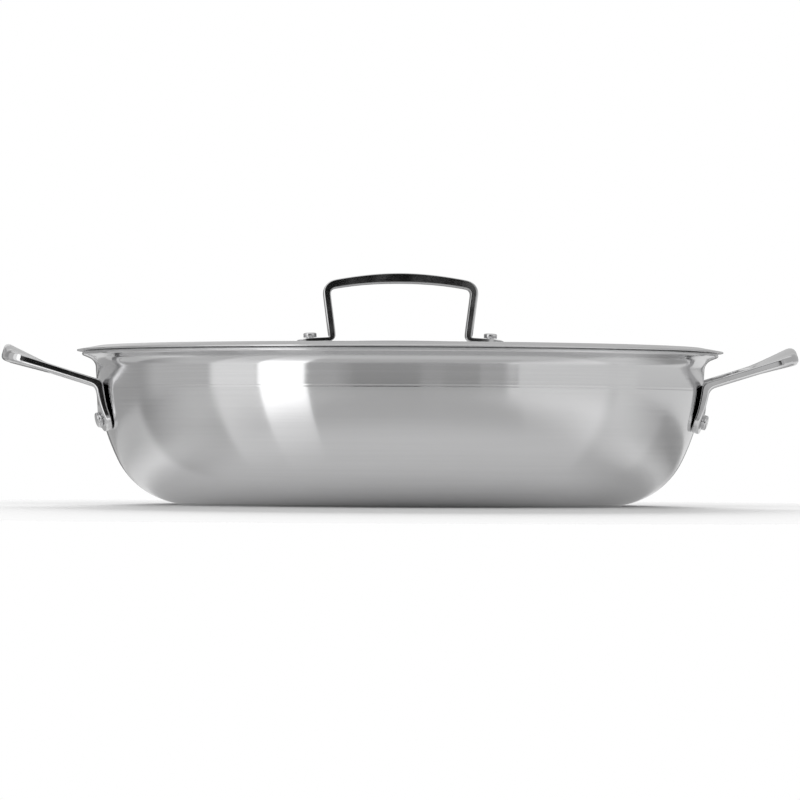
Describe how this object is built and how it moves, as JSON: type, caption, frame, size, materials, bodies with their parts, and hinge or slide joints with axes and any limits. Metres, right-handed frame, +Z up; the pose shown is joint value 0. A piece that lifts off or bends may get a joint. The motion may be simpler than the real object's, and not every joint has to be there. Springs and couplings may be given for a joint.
{
  "type": "two-handled casserole pan with lid",
  "caption": "Shallow round stainless steel casserole pan with a flared rim, riveted loop handles at its sides and a loose lid with a strap handle.",
  "frame": {"origin": "middle of the base, on the surface that the pan stands on", "axes": "+X from the left side handle to the right one, +Z up out of the mouth of the pan"},
  "size_m": [0.398, 0.3228, 0.1158],
  "materials": {
    "wall_steel": "satin, with fine marks round the wall",
    "inner_steel": "brushed",
    "core_aluminium": "mill",
    "handle_steel": "polished",
    "lid_steel": "polished",
    "rivet_steel": "polished"
  },
  "bodies": {
    "pan": {"pan_outer_layer": "wall_steel", "pan_core_layer": "core_aluminium", "pan_inner_layer": "inner_steel", "side_handle_left": "handle_steel", "side_handle_right": "handle_steel", "side_rivet_left_front": "rivet_steel", "side_rivet_left_back": "rivet_steel", "side_rivet_right_front": "rivet_steel", "side_rivet_right_back": "rivet_steel"},
    "lid": {"lid_cover": "lid_steel", "lid_handle": "handle_steel", "lid_rivet_left": "rivet_steel", "lid_rivet_right": "rivet_steel"}
  },
  "joints": [
    {"name": "lid_lift", "type": "slide", "parent": "pan", "child": "lid", "axis": [0, 0, 1], "range_m": [0, 0.15]}
  ]
}
